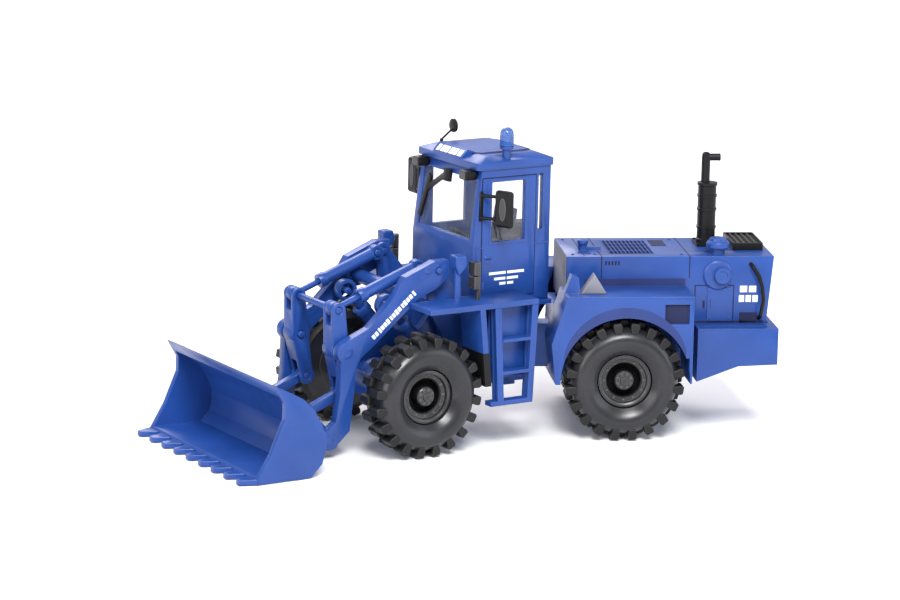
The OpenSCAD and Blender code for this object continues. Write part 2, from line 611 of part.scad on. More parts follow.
// Inner face of the skin, left open past the mouth
bucket_inside = [[50, bucket_t], [39.4, bucket_t], [38.1, 2.2], [37.8, 3.6], [37.8, 4.9], [38.4, 6.5],
    [39.3, 7.9], [40.6, 9.2], [42.4, 10.3], [44.3, 11.1], [50, 13]];
side_t = 0.8;
module bucket() color(blue) front() {
    difference() {
        plate(-bucket_half_w, 2 * bucket_half_w) polygon(concat(bucket_skin, side_edge));
        plate(side_t - bucket_half_w, 2 * (bucket_half_w - side_t)) polygon(bucket_inside);
    }
    both() for (y = [ear_inner_y, ear_outer_y]) bucket_lug(y);
}
module bucket_lug(y) difference() {
    plate(y, ear_w) {
        polygon([[32, 1.3], [37.3, 0.9], [37.2, 6.8], [34.8, 6.7], [33.7, 5.4], [31.3, 2.8]]);
        disc(bucket_pivot, 1.2);
        disc(bucket_ear, 1.1);
    }
    rod(bucket_pivot, 0, 20, pin_r + run_gap);
    rod(bucket_ear, 0, 20, pin_r + seat_gap);
}
tooth_root_w = 2.5;
tooth_tip_w = 0.9;
tooth_t = 0.7;
module bucket_teeth() color(blue) front() {
    outer = bucket_half_w - tooth_root_w / 2;
    root_x = bucket_skin[0][0];
    for (i = [0 : tooth_count - 1]) translate([0, -outer + i * 2 * outer / (tooth_count - 1), 0])
        linear_extrude(tooth_t) polygon([[root_x, -tooth_root_w / 2], [tooth_tip_x, -tooth_tip_w / 2],
            [tooth_tip_x, tooth_tip_w / 2], [root_x, tooth_root_w / 2]]);
}
module bucket_pins() color(blue) front() both()
    rod(bucket_ear, ear_inner_y, ear_outer_y + ear_w - ear_inner_y, pin_r);

front_frame();
front_axle_housing();
frame_pins();
steering_pin();
cab_shell();
cab_door();
cab_windows();
cab_roof();
beacon();
roof_mirror();
mirror_left();
mirror_right();
work_lights();
wiper();
driver_seat();
steering_console();
front_fender_left();
front_fender_right();
ladder_left();
ladder_right();
side_tanks();
headlamps();
rear_frame();
rear_axle_housing();
hood();
hood_grille();
radiator_mesh();
exhaust_stack();
pre_cleaner();
filter_cap();
rear_fender_left();
rear_fender_right();
wheel_chock();
rear_handrails();
counterweight();
front_axle();
rear_axle();
tyre_front_left();
tyre_front_right();
tyre_rear_left();
tyre_rear_right();
boom_arm_left();
boom_arm_right();
boom_cross_tube();
boom_pins();
bucket();
bucket_teeth();
bucket_pins();
bell_crank_left();
bell_crank_right();
crank_shafts();
tilt_links();
tilt_barrels();
tilt_rods();
lift_barrels();
lift_rods();
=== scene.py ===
"""Looks of the small articulated wheel loader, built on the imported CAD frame."""
import json
import math

import bmesh
import bpy
from mathutils import Matrix, Vector


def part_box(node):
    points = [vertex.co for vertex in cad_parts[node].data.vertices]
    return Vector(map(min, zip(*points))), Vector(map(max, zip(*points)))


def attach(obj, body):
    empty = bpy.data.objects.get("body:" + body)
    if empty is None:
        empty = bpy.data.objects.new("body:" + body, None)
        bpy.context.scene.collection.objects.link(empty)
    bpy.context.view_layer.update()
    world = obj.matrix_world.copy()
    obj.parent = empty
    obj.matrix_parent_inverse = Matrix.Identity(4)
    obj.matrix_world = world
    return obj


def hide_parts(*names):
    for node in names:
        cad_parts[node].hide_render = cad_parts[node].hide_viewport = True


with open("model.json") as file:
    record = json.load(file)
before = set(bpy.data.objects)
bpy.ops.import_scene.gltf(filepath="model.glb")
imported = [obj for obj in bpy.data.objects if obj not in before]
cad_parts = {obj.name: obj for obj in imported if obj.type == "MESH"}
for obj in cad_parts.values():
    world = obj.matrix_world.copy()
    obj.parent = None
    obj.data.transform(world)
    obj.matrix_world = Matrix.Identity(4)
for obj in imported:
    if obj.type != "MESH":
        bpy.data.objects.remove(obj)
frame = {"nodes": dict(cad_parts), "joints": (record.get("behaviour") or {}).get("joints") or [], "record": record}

MM = 0.001
JOINTS = {joint["name"]: joint for joint in frame["joints"]}


# ---------- sections ----------
# Both sections are drawn in millimetres, x forwards from the steering axis, z up from the ground.

STEER_AT = Vector(JOINTS["steering"]["pos_m"])
REAR_AXIS = Vector(JOINTS["rear_wheels_spin"]["axis"])
STEER_ANGLE = math.atan2(-REAR_AXIS.x, REAR_AXIS.y)
FRONT = Matrix.Translation((STEER_AT.x, STEER_AT.y, 0)) @ Matrix.Scale(MM, 4)
REAR = FRONT @ Matrix.Rotation(STEER_ANGLE, 4, "Z")


# ---------- materials ----------

def new_material(name, colour, roughness, ior=1.46):
    material = bpy.data.materials.new(name)
    material.use_nodes = True
    shader = material.node_tree.nodes["Principled BSDF"]
    shader.inputs["Base Color"].default_value = (*colour, 1)
    shader.inputs["Roughness"].default_value = roughness
    shader.inputs["IOR"].default_value = ior
    material.diffuse_color = (*colour, 1)
    return material, material.node_tree, shader


def noise(tree, scale, detail=4.0):
    """A noise texture in object space; scale is in features per metre."""
    coords = tree.nodes.new("ShaderNodeTexCoord")
    texture = tree.nodes.new("ShaderNodeTexNoise")
    texture.inputs["Scale"].default_value = scale
    texture.inputs["Detail"].default_value = detail
    tree.links.new(coords.outputs["Object"], texture.inputs["Vector"])
    return texture.outputs["Fac"]


def ramp(tree, value, low, high):
    """Maps the middle of a noise's range onto low to high."""
    node = tree.nodes.new("ShaderNodeMapRange")
    node.inputs["From Min"].default_value = 0.3
    node.inputs["From Max"].default_value = 0.7
    node.inputs["To Min"].default_value = low
    node.inputs["To Max"].default_value = high
    tree.links.new(value, node.inputs["Value"])
    return node.outputs["Result"]


def edge_mask(tree, radius):
    """1 along edges that catch wear, 0 on flat faces."""
    bevel = tree.nodes.new("ShaderNodeBevel")
    bevel.samples = 4
    bevel.inputs["Radius"].default_value = radius
    geometry = tree.nodes.new("ShaderNodeNewGeometry")
    dot = tree.nodes.new("ShaderNodeVectorMath")
    dot.operation = "DOT_PRODUCT"
    tree.links.new(bevel.outputs["Normal"], dot.inputs[0])
    tree.links.new(geometry.outputs["Normal"], dot.inputs[1])
    mask = tree.nodes.new("ShaderNodeMapRange")
    mask.inputs["From Min"].default_value = 0.995
    mask.inputs["From Max"].default_value = 0.85
    tree.links.new(dot.outputs["Value"], mask.inputs["Value"])
    return mask.outputs["Result"]


def mix(tree, factor, first, second):
    node = tree.nodes.new("ShaderNodeMix")
    node.data_type = "RGBA"
    for socket, value in ((node.inputs["A"], first), (node.inputs["B"], second)):
        if isinstance(value, tuple):
            socket.default_value = (*value, 1)
        else:
            tree.links.new(value, socket)
    if isinstance(factor, float):
        node.inputs["Factor"].default_value = factor
    else:
        tree.links.new(factor, node.inputs["Factor"])
    return node.outputs["Result"]


def plastic(name, colour, roughness, edge_lift=0.25, grain=0.06, gloss=0.5):
    """Moulded plastic: cloudy colour, a fine moulding grain, and edges polished a little paler."""
    material, tree, shader = new_material(name, colour, roughness)
    darker = tuple(c * 0.86 for c in colour)
    lighter = tuple(min(1.0, c * 1.08 + 0.004) for c in colour)
    clouds = noise(tree, 140, 3)
    body = mix(tree, ramp(tree, clouds, 0.0, 1.0), darker, lighter)
    edge = tuple(min(1.0, c + (1 - c) * edge_lift * 0.35) for c in colour)
    worn = tree.nodes.new("ShaderNodeMath")
    worn.operation = "MULTIPLY"
    tree.links.new(edge_mask(tree, 0.00016), worn.inputs[0])
    worn.inputs[1].default_value = edge_lift
    tree.links.new(mix(tree, worn.outputs[0], body, edge), shader.inputs["Base Color"])
    tree.links.new(ramp(tree, noise(tree, 420, 5), roughness - 0.05, roughness + 0.07),
                   shader.inputs["Roughness"])
    bump = tree.nodes.new("ShaderNodeBump")
    bump.inputs["Strength"].default_value = grain
    bump.inputs["Distance"].default_value = 0.00002
    tree.links.new(noise(tree, 5200, 6), bump.inputs["Height"])
    tree.links.new(bump.outputs["Normal"], shader.inputs["Normal"])
    shader.inputs["Specular IOR Level"].default_value = gloss
    return material


def clear_plastic(name, colour, alpha, roughness):
    """Thin clear plastic, seen through, with a faint cloudiness."""
    material, tree, shader = new_material(name, colour, roughness, 1.49)
    tree.links.new(ramp(tree, noise(tree, 300, 3), alpha - 0.03, alpha + 0.05), shader.inputs["Alpha"])
    tree.links.new(ramp(tree, noise(tree, 900, 4), roughness, roughness + 0.06),
                   shader.inputs["Roughness"])
    return material


def print_white():
    """Tampo-printed white: slightly uneven, with speckled edges."""
    material, tree, shader = new_material("white_print", (0.78, 0.8, 0.85), 0.5)
    speckle = ramp(tree, noise(tree, 2600, 4), 0.0, 0.5)
    tree.links.new(mix(tree, speckle, (0.84, 0.86, 0.9), (0.45, 0.52, 0.72)),
                   shader.inputs["Base Color"])
    return material


BLUE = plastic("blue_plastic", (0.009, 0.048, 0.232), 0.34)
# Painted shade: a dark blue laid over hood faces that lie in shade.
PAINTED_SHADE_BLUE = plastic("painted_shade_blue_plastic", (0.007, 0.018, 0.1), 0.5)
# Painted shade for the band round the rear wheel arches.
ARCH_SHADE = plastic("arch_painted_shade", (0.005, 0.022, 0.13), 0.36, 0.0)
# Dark blue for real seams and panel lines, and also painted shade in recesses, slots and grooves.
SEAM_AND_SHADE_BLUE = plastic("seam_and_shade_blue", (0.003, 0.007, 0.045), 0.8, 0.0)
BLACK = plastic("black_plastic", (0.004, 0.004, 0.0045), 0.34, 0.12, gloss=0.22)
TYRE = plastic("tyre_plastic", (0.006, 0.006, 0.0062), 0.44, 0.35, 0.12, gloss=0.35)
SIDEWALL = plastic("sidewall_plastic", (0.013, 0.013, 0.016), 0.3, 0.3)
HUB = plastic("hub_plastic", (0.016, 0.016, 0.017), 0.3, 0.5)
# Painted shade: near-black matte for lining the hubs' deep ring grooves.
HUB_GROOVE_SHADE = plastic("hub_groove", (0.002, 0.002, 0.002), 0.85, 0.0, gloss=0.1)
GREY = plastic("grey_plastic", (0.085, 0.074, 0.082), 0.55)
PALE = plastic("chock_grey_plastic", (0.17, 0.17, 0.2), 0.42, 0.6)
DASH = plastic("dash_plastic", (0.006, 0.006, 0.007), 0.6, gloss=0.25)
LENS = clear_plastic("lamp_lens", (0.03, 0.03, 0.033), 0.92, 0.08)
LAMP = plastic("lamp_plastic", (0.03, 0.028, 0.032), 0.4, 0.5)
GLASS = clear_plastic("clear_plastic", (0.42, 0.45, 0.52), 0.05, 0.12)
BEACON = clear_plastic("beacon_blue", (0.008, 0.07, 0.3), 0.74, 0.06)
PRINT = print_white()


# ---------- mesh building ----------

class Shape:
    """A mesh in the making, drawn in a section's millimetres."""

    def __init__(self, section=FRONT):
        self.mesh = bmesh.new()
        self.section = section

    def add(self, points, faces):
        verts = [self.mesh.verts.new(Vector(p)) for p in points]
        for face in faces:
            self.mesh.faces.new([verts[i] for i in face])
        return verts

    def box(self, x, y, z):
        points = [(x[i], y[j], z[k]) for i in (0, 1) for j in (0, 1) for k in (0, 1)]
        return self.add(points, [(0, 1, 3, 2), (4, 6, 7, 5), (0, 4, 5, 1),
                                 (2, 3, 7, 6), (0, 2, 6, 4), (1, 5, 7, 3)])

    def prism(self, outline, depth, place):
        """An outline extruded over depth; place turns (u, v, depth) into a point."""
        n = len(outline)
        points = [place(u, v, d) for d in depth for u, v in outline]
        sides = [(i, (i + 1) % n, n + (i + 1) % n, n + i) for i in range(n)]
        return self.add(points, [tuple(range(n))[::-1], tuple(range(n, 2 * n))] + sides)

    def plate(self, outline, y):
        """An outline in (x, z), from y[0] to y[1]."""
        return self.prism(outline, y, lambda u, v, d: (u, d, v))

    def flat(self, outline, z):
        """An outline in (x, y), from z[0] to z[1]."""
        return self.prism(outline, z, lambda u, v, d: (u, v, d))

    def lathe(self, profile, origin, axis, steps=64, closed=False):
        """A profile of (radius, distance along the axis) swept about the axis."""
        axis = Vector(axis).normalized()
        side = axis.orthogonal().normalized()
        other = axis.cross(side)
        origin = Vector(origin)
        rings = []
        for radius, along in profile:
            centre = origin + axis * along
            if radius < 1e-6:
                rings.append([self.mesh.verts.new(centre)])
                continue
            angles = [2 * math.pi * i / steps for i in range(steps)]
            rings.append([self.mesh.verts.new(centre + radius * (side * math.cos(a) + other * math.sin(a)))
                          for a in angles])
        pairs = list(zip(rings, rings[1:]))
        if closed:
            pairs.append((rings[-1], rings[0]))
        for first, second in pairs:
            for i in range(steps):
                j = (i + 1) % steps
                corners = [first[i % len(first)], first[j % len(first)],
                           second[j % len(second)], second[i % len(second)]]
                self.mesh.faces.new(list(dict.fromkeys(corners)))

    def rod(self, start, end, radius, steps=32, chamfer=0.12):
        """A round bar between two points, with chamfered ends."""
        axis = Vector(end) - Vector(start)
        length = axis.length
        edge = min(chamfer, radius * 0.4, length * 0.4)
        profile = [(0, 0), (radius - edge, 0), (radius, edge), (radius, length - edge),
                   (radius - edge, length), (0, length)]
        self.lathe(profile, start, axis, steps)

    def ball(self, centre, radius, rows=12):
        profile = [(radius * math.sin(math.pi * i / rows), -radius * math.cos(math.pi * i / rows))
                   for i in range(rows + 1)]
        profile = [(max(0.0, r) if 0 < i < rows else 0, d) for i, (r, d) in enumerate(profile)]
        self.lathe(profile, centre, (0, 0, 1), 32)

    def tube(self, points, radius, steps=16):
        """A bent bar: rods between the points, with balls at the bends."""
        for start, end in zip(points, points[1:]):
            self.rod(start, end, radius, steps, 0.02)
        for bend in points[1:-1]:
            self.ball(bend, radius * 0.995, 8)

    def both_sides(self):
        """Adds the mirror image across the middle plane."""
        everything = self.mesh.verts[:] + self.mesh.edges[:] + self.mesh.faces[:]
        copy = bmesh.ops.duplicate(self.mesh, geom=everything)
        verts = [item for item in copy["geom"] if isinstance(item, bmesh.types.BMVert)]
        faces = [item for item in copy["geom"] if isinstance(item, bmesh.types.BMFace)]
        for vert in verts:
            vert.co.y = -vert.co.y
        bmesh.ops.reverse_faces(self.mesh, faces=faces)
        return self

    def mirror(self):
        """Turns the whole shape into its mirror image."""
        for vert in self.mesh.verts:
            vert.co.y = -vert.co.y
        return self

    def turn(self, degrees, centre):
        """Turns the shape about an upright axis through centre."""
        about = Matrix.Translation((*centre, 0))
        self.mesh.transform(about @ Matrix.Rotation(math.radians(degrees), 4, "Z") @ about.inverted())
        return self

    def piece(self, name, body, material, bevel=0.12, replaces=(), slot=None):
        """Makes the object, in place, riding on its body."""
        bmesh.ops.recalc_face_normals(self.mesh, faces=self.mesh.faces[:])
        self.mesh.transform(self.section)
        data = bpy.data.meshes.new(name)
        self.mesh.to_mesh(data)
        self.mesh.free()
        return dressed(data, name, body, material, bevel, replaces)


def dressed(data, name, body, material, bevel, replaces=()):
    obj = bpy.data.objects.new(name, data)
    bpy.context.scene.collection.objects.link(obj)
    data.materials.clear()
    data.materials.append(material)
    for polygon in data.polygons:
        polygon.use_smooth = True
    if bevel:
        rounding = obj.modifiers.new("rounded_edges", "BEVEL")
        rounding.width = bevel * MM
        rounding.segments = 2
        rounding.limit_method = "ANGLE"
        rounding.angle_limit = math.radians(14)
        rounding.use_clamp_overlap = True
        rounding.harden_normals = True
    else:
        sharp = obj.modifiers.new("sharp_edges", "EDGE_SPLIT")
        sharp.split_angle = math.radians(32)
    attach(obj, body)
    if replaces:
        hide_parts(*replaces)
    return obj


BODY_OF = {node: body
           for body, nodes in frame["record"]["behaviour"]["bodies"].items() for node in nodes}


FLAT_ANGLE = math.radians(0.6)


def softened(node, material, bevel=0.12):
    """The CAD node's own shape, its flat facets joined and its edges rounded as on moulded plastic."""
    mesh = bmesh.new()
    mesh.from_mesh(frame["nodes"][node].data)
    bmesh.ops.remove_doubles(mesh, verts=mesh.verts[:], dist=1e-7)
    bmesh.ops.dissolve_limit(mesh, angle_limit=FLAT_ANGLE, verts=mesh.verts[:], edges=mesh.edges[:])
    data = bpy.data.meshes.new(node + "_moulded")
    mesh.to_mesh(data)
    mesh.free()
    return dressed(data, node + "_moulded", BODY_OF[node], material, bevel, (node,))


def circle(centre, radius, steps=32, start=0.0, sweep=360.0):
    """Points of an arc, as (u, v); a full circle by default."""
    count = steps if sweep == 360.0 else steps + 1
    return [(centre[0] + radius * math.cos(math.radians(start + sweep * i / steps)),
             centre[1] + radius * math.sin(math.radians(start + sweep * i / steps))) for i in range(count)]


# ---------- wheels ----------

WHEEL_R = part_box("tyre_front_left")[1].z / MM / 2
LUGS = 20
TYRE_Y = (8.38, 13.76)
TREAD_R = 7.0
HUB_R = 3.5
AXLES = {"front": (FRONT, 21.1), "rear": (REAR, -12.7)}


def tyre_carcass(side, centre):
    """Rounded shoulder and smooth dished sidewalls, as a closed ring."""
    inner, outer = TYRE_Y
    profile = [(HUB_R + 0.05, outer - 1.25), (3.62, outer - 1.0), (3.8, outer - 0.85), (4.2, outer - 0.5),
               (4.7, outer - 0.2), (5.2, outer - 0.05), (5.7, outer - 0.06), (6.15, outer - 0.25),
               (6.55, outer - 0.6), (6.85, outer - 1.05), (TREAD_R, outer - 1.5), (TREAD_R, inner + 1.0),
               (6.75, inner + 0.45), (6.0, inner + 0.08), (HUB_R + 0.05, inner + 0.4)]
    side.lathe(profile, (centre, 0, WHEEL_R), (0, 1, 0), 96, closed=True)


def tread_lugs(shape, centre):
    """Chunky lugs in two staggered rows that wrap over the shoulder."""
    inner, outer = TYRE_Y
    middle = (inner + outer) / 2
    for row in (0, 1):
        edge = outer - 0.36 if row else inner + 0.36
        for i in range(LUGS):
            turn = Matrix.Rotation(2 * math.pi * (i + row / 2) / LUGS, 3, "Y")
            radial = [(6.35, 0.42), (7.35, 0.62), (WHEEL_R - 0.01, 0.5)]
            points = []
            for level, (radius, half) in enumerate(radial):
                taper = 0.12 * level
                for y in (middle, edge - math.copysign(taper, edge - middle)):
                    for u in (-half, half):
                        points.append(Vector((centre, 0, WHEEL_R)) + turn @ Vector((u, y, radius)))
            faces = [(0, 1, 3, 2), (8, 10, 11, 9)]
            for k in (0, 4):
                faces += [(k, k + 4, k + 5, k + 1), (k + 1, k + 5, k + 7, k + 3),
                          (k + 3, k + 7, k + 6, k + 2), (k + 2, k + 6, k + 4, k)]
            shape.add(points, faces)


def hub_disc(shape, centre):
    """Dished hub with a raised rim, a deep ring groove and a centre boss."""
    profile = [(0, 12.62), (0.5, 12.6), (0.62, 12.4), (1.1, 12.34), (1.24, 12.2), (1.28, 10.6),
               (2.2, 10.6), (2.26, 11.8), (2.4, 12.0), (2.8, 12.1), (2.95, 12.5), (3.15, 12.62),
               (3.4, 12.55), (HUB_R - 0.02, 12.3), (HUB_R - 0.02, 8.82), (1.18, 8.82), (1.18, 7.62),
               (0, 7.62)]
    shape.lathe(profile, (centre, 0, WHEEL_R), (0, 1, 0), 72)
    for i in range(8):
        angle = 2 * math.pi * (i + 0.5) / 8
        x, z = centre + 0.92 * math.cos(angle), WHEEL_R + 0.92 * math.sin(angle)
        shape.rod((x, 12.25, z), (x, 12.46, z), 0.12, 10, 0.04)
    for i in range(12):
        angle = 2 * math.pi * i / 12
        x, z = centre + 2.6 * math.cos(angle), WHEEL_R + 2.6 * math.sin(angle)
        shape.rod((x, 11.95, z), (x, 12.18, z), 0.1, 8, 0.03)


def wheel_pair(end):
    section, centre = AXLES[end]
    body = end + "_wheels"
    for side in ("left", "right"):
        tyre = Shape(section)
        tyre_carcass(tyre, centre)
        lugs = Shape(section)
        tread_lugs(lugs, centre)
        if side == "right":
            tyre.mirror()
            lugs.mirror()
        tyre.piece(f"tyre_carcass_{end}_{side}", body, SIDEWALL, 0, (f"tyre_{end}_{side}",), "tyre_black")
        lugs.piece(f"tread_lugs_{end}_{side}", body, TYRE, 0.14, (f"tyre_{end}_{side}",), "tyre_black")
    hubs = Shape(section)
    hub_disc(hubs, centre)
    hubs.both_sides()
    hubs.rod((centre, -8.3, WHEEL_R), (centre, 8.3, WHEEL_R), 0.7)
    hubs.piece(f"hubs_{end}", body, HUB, 0, (f"{end}_axle",), "black_plastic")
    # Painted shade: a near-black lining over the ring groove's walls and floor, darker than the hub's own plastic.
    rings = Shape(section)
    rings.lathe([(1.26, 11.9), (1.3, 11.9), (1.32, 10.66), (2.16, 10.66), (2.2, 11.75), (2.25, 11.75),
                 (2.25, 10.62), (1.26, 10.62)], (centre, 0, WHEEL_R), (0, 1, 0), 48, closed=True)
    rings.both_sides().piece(f"hub_grooves_{end}", body, HUB_GROOVE_SHADE, 0)


# ---------- cab ----------

CAB_SIDE = 7.5
DOOR_FACE = 7.65
DOOR_X, DOOR_Z = (2.3, 10.3), (18.4, 34.0)
GLASS_X, GLASS_Z = (3.9, 9.0), (25.7, 33.5)


def grown(span, by):
    """A (low, high) range made wider at both ends."""
    return (span[0] - by, span[1] + by)


def frame_bars(shape, x, z, y, width):
    """A flat rectangular border on a side wall, its outer edge at x and z."""
    shape.box((x[0], x[0] + width), y, z)
    shape.box((x[1] - width, x[1]), y, z)
    shape.box((x[0] + width, x[1] - width), y, (z[0], z[0] + width))
    shape.box((x[0] + width, x[1] - width), y, (z[1] - width, z[1]))


def cab():
    body = "front_section"
    for node in ("cab_shell", "cab_door", "cab_roof"):
        softened(node, BLUE, 0.16)
    seams = Shape()
    frame_bars(seams, grown(DOOR_X, 0.12), grown(DOOR_Z, 0.12), (CAB_SIDE - 0.1, CAB_SIDE + 0.015), 0.14)
    seams.piece("door_seam", body, SEAM_AND_SHADE_BLUE, 0)
    trim = Shape()
    frame_bars(trim, grown(GLASS_X, 0.3), grown(GLASS_Z, 0.3), (DOOR_FACE - 0.05, DOOR_FACE + 0.07), 0.3)
    trim.box((8.7, 9.9), (DOOR_FACE - 0.05, DOOR_FACE + 0.09), (23.0, 23.2))
    for hinge_z in (19.6, 31.6):
        trim.box((10.05, 10.4), (CAB_SIDE, DOOR_FACE + 0.17), (hinge_z, hinge_z + 1.0))
    trim.box((0.0, 11.4), (CAB_SIDE, CAB_SIDE + 0.12), (24.95, 25.1))
    trim.rod((10.95, CAB_SIDE - 0.05, 18.4), (10.95, CAB_SIDE - 0.05, 24.4), 0.22, 16)
    trim.piece("door_trim", body, BLUE, 0.05)
    bars = Shape()
    for low, high, base in ((3.9, 9.2, 21.45), (4.8, 8.4, 20.7), (5.5, 7.6, 20.05)):
        middle = (low + high) / 2
        for ends in ((low, middle - 0.12), (middle + 0.12, high)):
            bars.box(ends, (DOOR_FACE + 0.005, DOOR_FACE + 0.03), (base, base + 0.34))
    bars.piece("door_bars", body, PRINT, 0)
    for slot in frame["nodes"]["cab_windows"].material_slots:
        slot.material = GLASS
    softened("roof_mirror", BLACK, 0.04)
    mirror("mirror_left")
    mirror("mirror_right")
    softened("work_lights", BLACK, 0.2)
    softened("wiper", BLACK, 0.1)
    softened("headlamps", LAMP, 0.15)
    side_console()
    softened("driver_seat", GREY, 0.3)
    softened("steering_console", DASH, 0.12)
    lamp_lenses()
    roof_details()
    beacon()


def side_console():
    """Grey control box between the seat and the door, with two levers."""
    console = Shape()
    outline = [(1.2, 18.4), (6.6, 18.4), (6.6, 24.2), (5.6, 25.2), (3.4, 25.6), (3.0, 27.4), (1.2, 27.4)]
    console.plate(outline, (2.7, 5.9))
    console.piece("side_console", "front_section", GREY, 0.3)
    levers = Shape()
    for y in (3.4, 4.5):
        levers.rod((5.4, y, 24.9), (5.9, y, 27.2), 0.14, 12, 0.03)
        levers.ball((5.9, y, 27.3), 0.3, 8)
    levers.piece("console_levers", "front_section", BLACK, 0)


def lamp_lenses():
    """Pale lenses set in the lamp blocks' front faces."""
    lenses = Shape()
    for low, high in ((20.75, 22.05), (22.55, 24.05)):
        lenses.box((13.36, 13.46), (9.55, 10.85), (low, high))
    lenses.box((12.38, 12.46), (5.15, 6.55), (33.95, 34.85))
    for z in (13.4, 9.2):
        lenses.rod((12.95, 12.2, z), (13.1, 12.2, z), 0.3, 12, 0.03)
    lenses.both_sides().piece("lamp_lenses", "front_section", LENS, 0.06)


MIRROR_X = 8.9
MIRROR_W, MIRROR_H, MIRROR_T = 2.6, 4.8, 0.9
NEAR_MIRROR_TURN = 25


def mirror(node):
    """A rounded mirror head with a pale oval on its back and its glass behind, on a looped bracket."""
    low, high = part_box(node)
    left = high.y > STEER_AT.y
    z = (low.z + high.z) / 2 / MM
    reach = (high.y - STEER_AT.y) / MM if left else (STEER_AT.y - low.y) / MM
    middle = reach - MIRROR_W / 2
    head_y = (reach - MIRROR_W, reach)
    head = Shape()
    head.box(grown((MIRROR_X, MIRROR_X), MIRROR_T / 2), head_y, grown((z, z), MIRROR_H / 2))
    rim = Shape()
    oval = [(0.5 * math.cos(a) + middle, 1.5 * math.sin(a) + z)
            for a in (math.pi * i / 16 for i in range(32))]
    rim.prism(oval, (MIRROR_X + 0.4, MIRROR_X + 0.52), lambda u, v, d: (d, u, v))
    glass = Shape()
    glass.box((MIRROR_X - 0.5, MIRROR_X - 0.4), grown(head_y, -0.4), grown((z, z), MIRROR_H / 2 - 0.4))
    if left:
        for shape in (head, rim, glass):
            shape.turn(NEAR_MIRROR_TURN, (MIRROR_X, middle))
    bracket = Shape()
    for level in (z - 1.45, z + 1.45):
        bracket.tube([(10.6, 7.7, level), (10.2, 8.3, level), (9.1, head_y[0] + 0.3, level)], 0.22, 12)
    bracket.box((10.4, 10.8), (CAB_SIDE, CAB_SIDE + 0.35), grown((z, z), 1.9))
    for shape, name, material, bevel in ((head, "head", BLACK, 0.42), (rim, "rim", LAMP, 0.05),
                                         (glass, "glass", DASH, 0.05), (bracket, "bracket", BLACK, 0)):
        if not left:
            shape.mirror()
        shape.piece(f"{node}_{name}", "front_section", material, bevel, (node,), "black_plastic")


def roof_details():
    """A printed band on the front fascia, the raised panel behind it, and a dark ring of painted shade round the
    panel where its rounded groove lies.
    """
    fascia = Shape()
    for i in range(6):
        low = -2.9 + i * 1.02
        points = [(11.06, 36.28), (10.36, 36.98), (10.4, 37.02), (11.1, 36.32)]
        fascia.plate(points, (low, low + (0.86 if i % 2 else 0.7)))
    fascia.piece("roof_bars", "front_section", PRINT, 0)
    panel = Shape()
    corners = [circle((7.9, 3.1), 1.4, 8, 0, 90), circle((2.6, 3.1), 1.4, 8, 90, 90),
               circle((2.6, -3.1), 1.4, 8, 180, 90), circle((7.9, -3.1), 1.4, 8, 270, 90)]
    outline = [point for corner in corners for point in corner]
    panel.flat(outline, (36.6, 36.86))
    panel.piece("roof_panel", "front_section", BLUE, 0.08)
    # Painted shade: a dark slab showing round the raised panel's edge.
    groove_shade = Shape()
    wider = [(5.25 + (x - 5.25) * 1.07, y * 1.09) for x, y in outline]
    groove_shade.flat(wider, (36.5, 36.72))
    groove_shade.piece("roof_groove_shade", "front_section", SEAM_AND_SHADE_BLUE, 0)


def beacon():
    """Ribbed clear-blue dome on a stem with a collar."""
    low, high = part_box("beacon")
    centre = [(low[i] + high[i]) / 2 / MM - STEER_AT[i] / MM for i in (0, 1)]
    top = high.z / MM
    base = top - 4.3
    stem = Shape()
    stem.lathe([(0, base), (0.55, base), (0.55, top - 2.95), (0.85, top - 2.8), (0.9, top - 2.45),
                (0, top - 2.4)], (*centre, 0), (0, 0, 1), 40)
    stem.piece("beacon_stem", "front_section", BLUE, 0, ("beacon",), "beacon_blue")
    dome = Shape()
    profile = [(0.0, top - 2.4), (0.88, top - 2.4)]
    for i in range(5):
        z = top - 2.3 + i * 0.28
        profile += [(0.92, z), (0.92, z + 0.14), (0.87, z + 0.2)]
    profile += [(0.9 * math.cos(a), top - 0.9 + 0.9 * math.sin(a))
                for a in (math.pi / 2 * i / 8 for i in range(1, 8))] + [(0, top)]
    dome.lathe(profile, (*centre, 0), (0, 0, 1), 48)
    dome.piece("beacon_dome", "front_section", BEACON, 0, ("beacon",), "beacon_blue")


# ---------- rear section ----------

HOOD_Y, HOOD_TOP = 6.2, 22.9
GRILLE_X, GRILLE_Y = (-17.4, -11.7), (-4.4, 4.4)
FENDER_Y, FENDER_TOP = 13.3, 19.0


